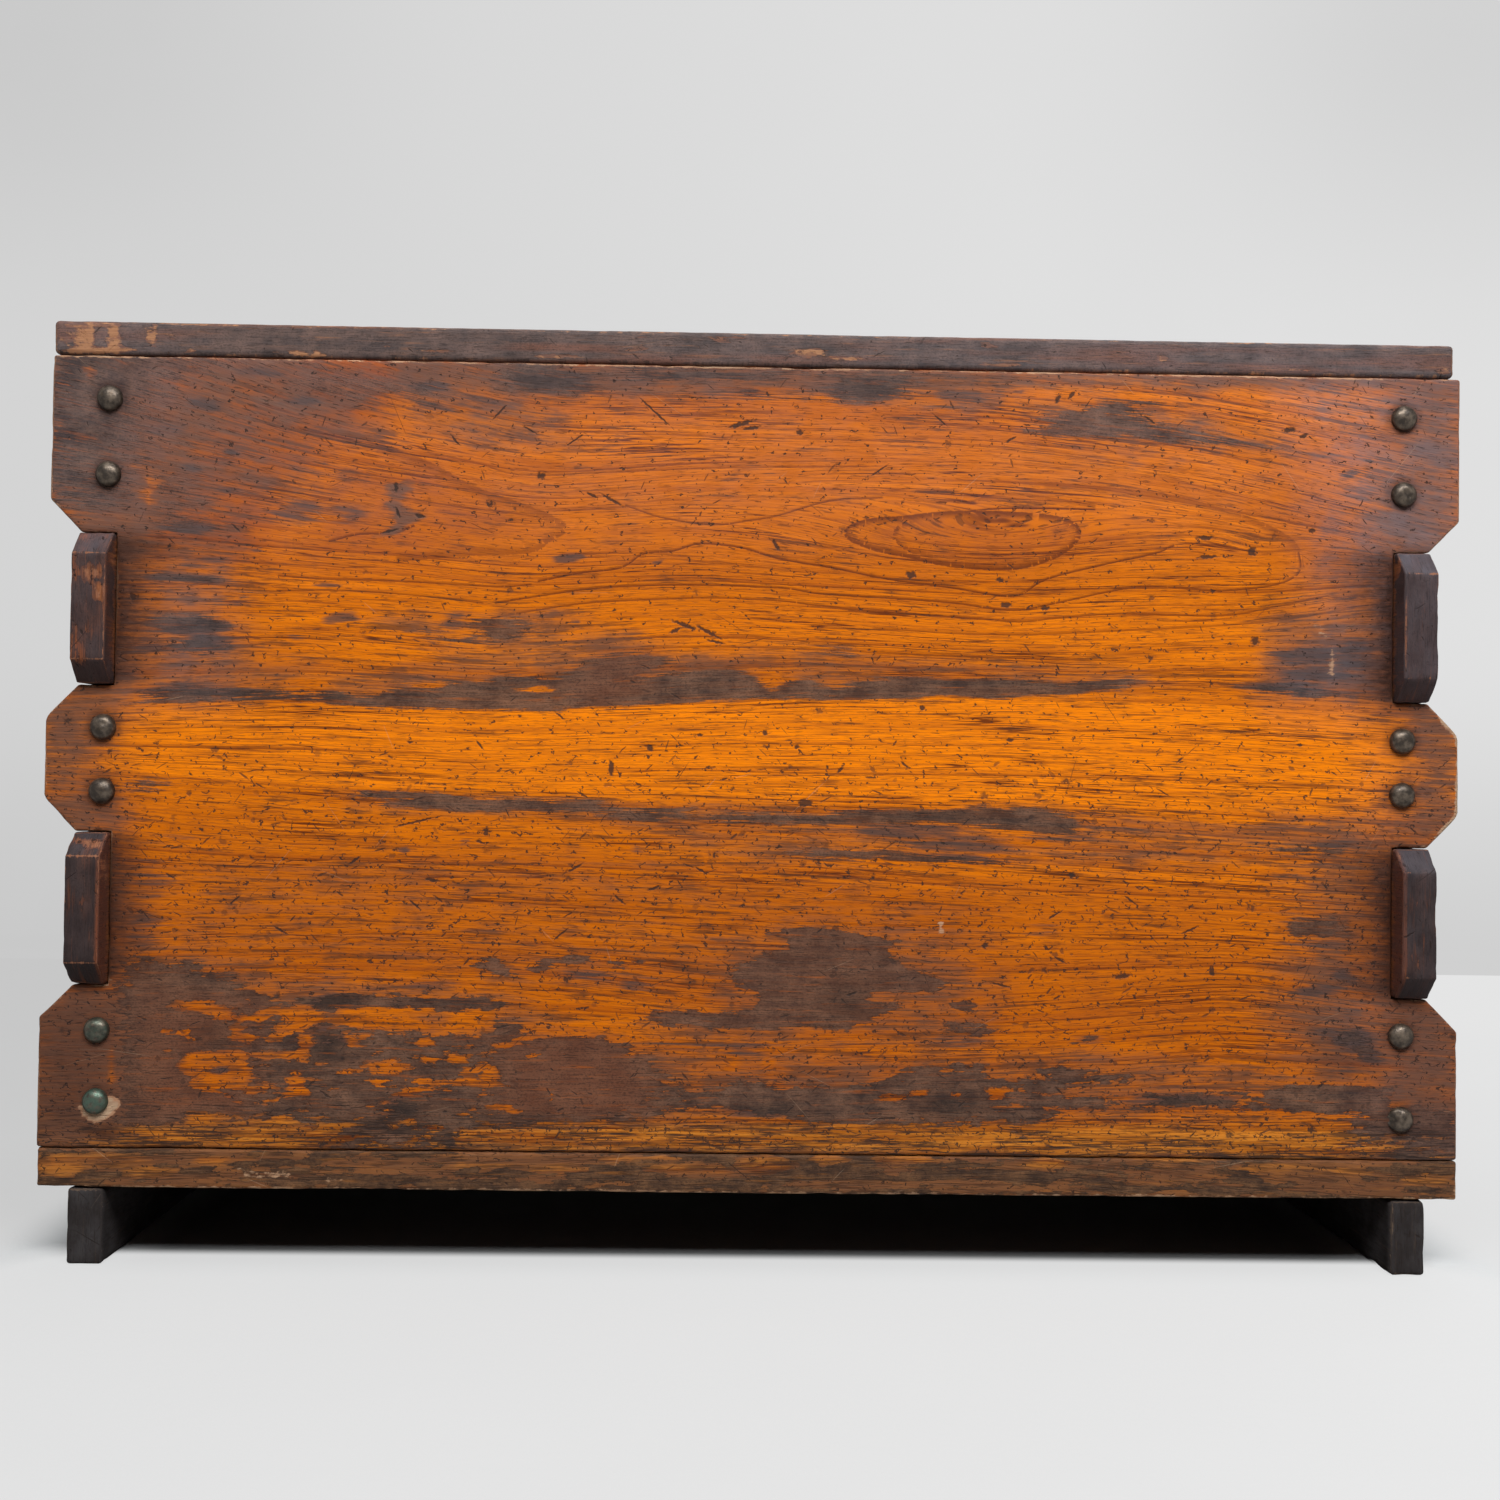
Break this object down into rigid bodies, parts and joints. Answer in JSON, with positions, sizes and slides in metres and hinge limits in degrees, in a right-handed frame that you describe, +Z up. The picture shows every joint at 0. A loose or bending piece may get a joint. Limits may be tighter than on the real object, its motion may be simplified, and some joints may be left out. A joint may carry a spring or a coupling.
{
  "type": "wooden storage box",
  "caption": "Low rectangular wooden storage box with through-tenoned ends, dome-headed nails, a plank bottom on two runners and a loose lift-off lid with battens.",
  "frame": {"origin": "on the floor, under the middle of the box", "axes": "+X to the right along the front board, +Y from the front board to the back board, +Z up"},
  "size_m": [0.909, 0.491, 0.6024],
  "materials": {
    "wall_wood": "old amber-brown lacquer worn through to the grain, satin",
    "end_wood": "dark reddish-brown lacquer, worn arrises",
    "bottom_wood": "dirty grey-brown lacquer with bare orange patches",
    "runner_wood": "nearly black, matt, rubbed edges",
    "lid_wood": "brown-black lacquer with worn ochre patches",
    "batten_wood": "bare aged wood",
    "dome_nail_iron": "aged dark metal with an olive tint and traces of green",
    "flat_nail_iron": "rusted dark iron"
  },
  "bodies": {
    "box": {"front_board": "wall_wood", "back_board": "wall_wood", "left_end_board": "end_wood", "right_end_board": "end_wood", "bottom_front_plank": "bottom_wood", "bottom_middle_plank": "bottom_wood", "bottom_back_plank": "bottom_wood", "left_runner": "runner_wood", "right_runner": "runner_wood", "front_left_nail_1": "dome_nail_iron", "front_left_nail_2": "dome_nail_iron", "front_left_nail_3": "dome_nail_iron", "front_left_nail_4": "dome_nail_iron", "front_left_nail_5": "dome_nail_iron", "front_left_nail_6": "dome_nail_iron", "front_right_nail_1": "dome_nail_iron", "front_right_nail_2": "dome_nail_iron", "front_right_nail_3": "dome_nail_iron", "front_right_nail_4": "dome_nail_iron", "front_right_nail_5": "dome_nail_iron", "front_right_nail_6": "dome_nail_iron", "back_left_nail_1": "dome_nail_iron", "back_left_nail_2": "dome_nail_iron", "back_left_nail_3": "dome_nail_iron", "back_left_nail_4": "dome_nail_iron", "back_left_nail_5": "dome_nail_iron", "back_left_nail_6": "dome_nail_iron", "back_right_nail_1": "dome_nail_iron", "back_right_nail_2": "dome_nail_iron", "back_right_nail_3": "dome_nail_iron", "back_right_nail_4": "dome_nail_iron", "back_right_nail_5": "dome_nail_iron", "back_right_nail_6": "dome_nail_iron", "bottom_front_nail_1": "flat_nail_iron", "bottom_front_nail_2": "flat_nail_iron", "bottom_front_nail_3": "flat_nail_iron", "bottom_back_nail_1": "flat_nail_iron", "bottom_back_nail_2": "flat_nail_iron", "bottom_back_nail_3": "flat_nail_iron", "left_runner_front_nail": "flat_nail_iron", "left_runner_middle_nail": "flat_nail_iron", "left_runner_back_nail": "flat_nail_iron", "right_runner_front_nail": "flat_nail_iron", "right_runner_middle_nail": "flat_nail_iron", "right_runner_back_nail": "flat_nail_iron"},
    "lid": {"lid_front_plank": "lid_wood", "lid_back_plank": "lid_wood", "left_lid_batten": "batten_wood", "right_lid_batten": "batten_wood", "left_batten_nail_1": "flat_nail_iron", "left_batten_nail_2": "flat_nail_iron", "left_batten_nail_3": "flat_nail_iron", "left_batten_nail_4": "flat_nail_iron", "right_batten_nail_1": "flat_nail_iron", "right_batten_nail_2": "flat_nail_iron", "right_batten_nail_3": "flat_nail_iron", "right_batten_nail_4": "flat_nail_iron"}
  },
  "joints": [
    {"name": "lid_lift", "type": "slide", "parent": "box", "child": "lid", "axis": [0, 0, 1], "range_m": [0, 0.4]}
  ]
}
